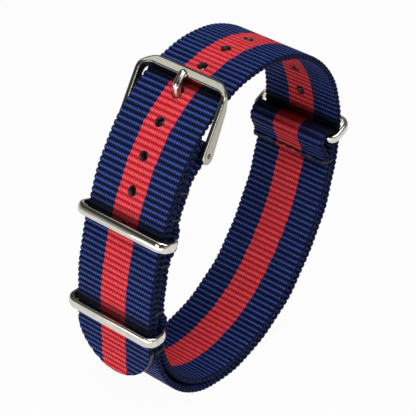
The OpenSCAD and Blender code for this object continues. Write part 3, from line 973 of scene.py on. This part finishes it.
def nylon_material():
    """Striped ribbed nylon, dark at its edges, with a painted highlight on each rib's crest and painted shade
    in its gaps, and painted shade beside the metal where the webbing is marked for it.
    """
    material, n, shader = new_material("ribbed_nylon")
    across, rib, height, round_yarn = weave(n)
    cloth = n.add("TexCoord").outputs["Object"]
    coarse = n.noise(n.mapped(cloth, (160, 160, 160)), 1.0, 2.0)
    fine = n.noise(n.mapped(cloth, (1500, 1500, 1500)), 1.0, 3.0, 0.6)
    chance = n.add("TexWhiteNoise", noise_dimensions="1D")
    n.link(rib, chance, "W")
    red = red_stripe(n, across, chance.outputs[0])
    lit = rib_light(n, height, round_yarn, red, coarse)
    lit = n.math("MULTIPLY", lit, n.math("MULTIPLY_ADD", chance.outputs[0], RIB_SPREAD, RIB_LEAST))
    lit = n.math("MULTIPLY", lit, n.ramp(fine, 0.25, 0.7, 0.72, 1.1))
    edge = STRAP_W / 2 / MM
    lit = n.math("MULTIPLY", lit, n.ramp(n.math("ABSOLUTE", across), edge - 0.55, edge - 0.1, 1.0, 0.12))
    # Crest colours carry a painted highlight, gap colours painted shade
    lit_crest_colour = n.mix(red, colour(*LIT_CREST_BLUE), colour(*LIT_CREST_RED))
    shaded_gap_colour = n.mix(red, colour(*SHADED_GAP_BLUE), colour(*SHADED_GAP_RED))
    # Painted shade beside the metal, mixed in by the marks laid on the webbing
    shade_share = n.math("MULTIPLY", n.add("Attribute", attribute_name="shade_beside_metal").outputs["Fac"], 0.95)
    painted_shade = n.mix(red, colour(*METAL_SHADE_BLUE), colour(*METAL_SHADE_RED))
    n.link(n.mix(shade_share, n.mix(lit, shaded_gap_colour, lit_crest_colour), painted_shade), shader, "Base Color")
    n.link(n.math("MULTIPLY_ADD", lit, -0.15, 0.65), shader, "Roughness")
    shader.inputs["Specular IOR Level"].default_value = 0.1
    relief = n.math("MULTIPLY", round_yarn, n.math("MULTIPLY_ADD", height, -0.5, 1.0))
    relief = n.math("MULTIPLY_ADD", fine, 0.3, relief)
    n.link(n.bump(relief, 0.1 * MM, 0.8), shader, "Normal")
    return material


def thread_material():
    """Matt black thread with a fine fibre."""
    material, n, shader = new_material("black_thread")
    grain = n.noise(n.mapped(n.add("TexCoord").outputs["Object"], (2500, 2500, 2500)), 1.0, 3.0)
    n.link(n.mix(grain, colour(5, 5, 8), colour(24, 24, 30)), shader, "Base Color")
    n.link(n.math("MULTIPLY_ADD", grain, 0.2, 0.5), shader, "Roughness")
    n.link(n.bump(grain, 0.05 * MM), shader, "Normal")
    return material


def melted_and_shade_material():
    """Nylon melted to a dark, lumpy bead; so near black that in the holes it also stands as painted shade."""
    material, n, shader = new_material("melted_nylon_and_shade")
    place = n.add("TexCoord").outputs["Object"]
    lumps = n.noise(n.mapped(place, (900, 900, 900)), 1.0, 4.0)
    n.link(n.mix(lumps, colour(6, 5, 6), colour(34, 24, 22)), shader, "Base Color")
    n.link(n.ramp(lumps, 0.3, 0.8, 0.3, 0.55), shader, "Roughness")
    n.link(n.bump(lumps, 0.08 * MM, 0.7), shader, "Normal")
    return material


def wear_group():
    """Fine lines of polishing, in patches as handling leaves them: a mask and a height."""
    group = bpy.data.node_groups.new("fine_wear", "ShaderNodeTree")
    group.interface.new_socket("Direction", in_out="INPUT", socket_type="NodeSocketVector")
    group.interface.new_socket("Marks", in_out="OUTPUT", socket_type="NodeSocketFloat")
    group.interface.new_socket("Height", in_out="OUTPUT", socket_type="NodeSocketFloat")
    n = Nodes(group)
    entry = group.nodes.new("NodeGroupInput")
    leave = group.nodes.new("NodeGroupOutput")
    place = n.add("TexCoord").outputs["Object"]
    lines = n.noise(n.mapped(place, entry.outputs["Direction"]), 1.0, 4.0, 0.7)
    smudge = n.noise(n.mapped(place, (220, 220, 220)), 1.0, 2.0)
    marks = n.math("MULTIPLY", n.ramp(lines, 0.35, 0.75), n.ramp(smudge, 0.25, 0.8, 0.3, 1.0))
    n.link(marks, leave, "Marks")
    n.link(lines, leave, "Height")
    return group


def steel_material(name, group, direction, rough, tint, height, inside_shade=None):
    """Steel whose fine lines run as direction says, from its least to its most roughness, with a tint.

    A colour of painted shade, where there is one, takes over where the piece is marked as inside."""
    material, n, shader = new_material(name)
    wear = n.add("Group", node_tree=group)
    n.link(direction, wear, "Direction")
    shade = n.mix(wear.outputs["Marks"], tint, colour(*WORN_STEEL))
    rough = n.ramp(wear.outputs["Marks"], 0, 1, *rough)
    # Painted shade on the sides marked as inside
    if inside_shade:
        inside = n.add("Attribute", attribute_name="inside").outputs["Fac"]
        shade = n.mix(inside, shade, inside_shade)
        rough = n.math("MULTIPLY_ADD", inside, 0.3, rough)
    n.link(shade, shader, "Base Color")
    n.link(rough, shader, "Roughness")
    shader.inputs["Metallic"].default_value = 1.0
    n.link(n.bump(wear.outputs["Height"], height, 0.5), shader, "Normal")
    return material


# Pieces

webbing_rows = {
    "fold_stitching": FOLD_SEAM_S,
    "upper_keeper_top_stitching": UPPER_S + SEAM_OFF,
    "upper_keeper_bottom_stitching": UPPER_S - SEAM_OFF,
    "lower_keeper_top_stitching": LOWER_S + SEAM_OFF,
    "lower_keeper_bottom_stitching": LOWER_S - SEAM_OFF,
}

nylon = nylon_material()
black_thread = thread_material()
melted_and_shade = melted_and_shade_material()
wear = wear_group()
bright_steel = steel_material(
    "polished_steel", wear, ALONG_X, (0.08, 0.16), colour(*BRIGHT_STEEL), 0.0015 * MM
)
satin_steel = steel_material(
    "satin_steel", wear, ALONG_X, (0.14, 0.22), colour(*SATIN_STEEL), 0.002 * MM, colour(*INSIDE_SHADE_STEEL)
)
# The spring bar's tips take a dark steel that paints the shade of the arms' bores
tip_shade_steel = steel_material("tip_shade_steel", wear, ALL_WAYS, (0.4, 0.6), colour(*TIP_SHADE_STEEL), 0.004 * MM)


def dress(piece, body, material):
    """Gives a piece its material and the body that it moves with."""
    piece.data.materials.clear()
    piece.data.materials.append(material)
    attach(piece, body)
    return piece


main = dress(main_strap(), "webbing", nylon)
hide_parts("main_strap")
short = dress(short_strap(), "webbing", nylon)
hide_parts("short_strap")
# The holes' near-black lips are real melted nylon and also painted shade inside the holes
dress(hole_seals_and_shade(), "webbing", melted_and_shade)
dress(tip_seal(), "webbing", melted_and_shade)
for row, s in webbing_rows.items():
    dress(front_row(row, s), "webbing", black_thread)
dress(ring_row("ring_stitching"), "webbing", black_thread)

bow = dress(buckle_bow(), "buckle", satin_steel)
# Painted shade on the arms' sides that face the webbing
paint_inside_shade(bow)
dress(tongue(), "tongue", bright_steel)
dress(keeper("upper_band_keeper", "upper_keeper", UPPER_S), "upper_keeper", bright_steel)
dress(keeper("lower_band_keeper", "lower_keeper", LOWER_S), "lower_keeper", bright_steel)
dress(end_ring("end_band_ring", "end_ring"), "end_ring", bright_steel)
# Real finishes, except the tips' dark steel, which is painted shade for the arms' bores
bar_finishes_and_shade = {
    "spring_bar_tube": bright_steel,
    "spring_bar_spring": bright_steel,
    "spring_bar_tip_left": tip_shade_steel,
    "spring_bar_tip_right": tip_shade_steel,
}
for node, finish_or_shade in bar_finishes_and_shade.items():
    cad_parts[node].data.materials.clear()
    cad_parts[node].data.materials.append(finish_or_shade)

# Camera, at the photograph's viewing angle

camera_data = bpy.data.cameras.new("camera")
camera_data.sensor_width = 36
camera_data.lens = 149.2
camera = bpy.data.objects.new("camera", camera_data)
bpy.context.scene.collection.objects.link(camera)
view_from = Vector((0.19005, -0.226239, 0.24639))
view_right = Vector((0.7634, 0.6459, 0)).normalized()
view_ahead = Vector((-0.5267, 0.6224, -0.5790)).normalized()
view_up = view_right.cross(view_ahead)
turned = Matrix((view_right, view_up, -view_ahead)).transposed()
camera.matrix_world = Matrix.Translation(view_from) @ turned.to_4x4()
camera_data.clip_start = 0.01
camera_data.clip_end = 20
bpy.context.scene.camera = camera

# Floor, lights and surroundings

BLACK = (0, 0, 0, 1)
WHITE = (1, 1, 1, 1)


def grey(level):
    return (level, level, level, 1)


def seen_directly(n):
    """1 for rays that show the surroundings themselves, also in metal, and 0 for those that only light."""
    rays = n.add("LightPath")
    seen = n.math("MAXIMUM", rays.outputs["Is Camera Ray"], rays.outputs["Is Glossy Ray"])
    return n.math("MAXIMUM", seen, rays.outputs["Is Transmission Ray"])


def floor_material():
    """A pale floor that looks white round the strap, keeps its shadow, and greys towards the walls."""
    near, far, far_paleness = 0.17, 0.6, 0.42
    material, n, shader = new_material("pale_floor")
    distance = n.add("VectorMath", operation="LENGTH")
    n.link(n.add("TexCoord").outputs["Object"], distance, 0)
    paleness = n.ramp(distance.outputs[1], near, far, 1.0, far_paleness)
    n.link(n.mix(paleness, BLACK, grey(0.7)), shader, "Base Color")
    shader.inputs["Roughness"].default_value = 0.9
    shader.inputs["Specular IOR Level"].default_value = 0.1
    glow = n.add("Emission")
    n.link(n.mix(paleness, BLACK, WHITE), glow, "Color")
    blend = n.add("MixShader")
    n.link(n.math("MULTIPLY", seen_directly(n), 0.96), blend, 0)
    n.link(shader.outputs[0], blend, 1)
    n.link(glow.outputs[0], blend, 2)
    n.link(blend.outputs[0], n.tree.nodes["Material Output"], "Surface")
    return material


bpy.ops.mesh.primitive_plane_add(size=4, location=(0, 0, 0))
floor = new_piece("floor")
floor.data.materials.append(floor_material())


def soft_light(name, place, size, power, target=(0, 0, 0.04)):
    """A rectangular lamp, its power in watts, turned to a target."""
    data = bpy.data.lights.new(name, "AREA")
    data.shape = "RECTANGLE"
    data.size, data.size_y = size
    data.energy = power
    light = bpy.data.objects.new(name, data)
    bpy.context.scene.collection.objects.link(light)
    light.location = place
    light.rotation_euler = (Vector(target) - Vector(place)).to_track_quat("-Z", "Y").to_euler()


soft_light("key_light", (0.0, -0.7, 0.2), (0.4, 0.4), 1.3)
soft_light("low_light", (0.03, -0.15, 0.004), (0.26, 0.1), 0.13, (0, -0.02, 0.045))
soft_light("right_light", (0.6, 0.0, 0.5), (0.4, 0.4), 1.1)
soft_light("top_light", (0.16, -0.1, 0.62), (0.35, 0.35), 2.5)
soft_light("bar_card", (-0.075, 0.0, 0.24), (0.045, 0.12), 0.02, (0, -0.02, 0.07))


def studio_world():
    """Soft light from all round, and what the metal shows: grey walls, dark above them, a paler ceiling."""
    world = bpy.data.worlds.new("studio")
    world.use_nodes = True
    n = Nodes(world.node_tree)
    up = n.add("SeparateXYZ")
    n.link(n.add("TexCoord").outputs["Generated"], up, 0)
    walls = n.mix(n.ramp(up.outputs[2], 0.02, 0.3), grey(0.42), (0.06, 0.06, 0.05, 1))
    walls = n.mix(n.ramp(up.outputs[2], 0.6, 0.85), walls, (0.2, 0.2, 0.19, 1))
    n.link(n.mix(seen_directly(n), grey(0.11), walls), world.node_tree.nodes["Background"], "Color")
    return world


bpy.context.scene.world = studio_world()
bpy.context.scene.view_settings.view_transform = "Standard"
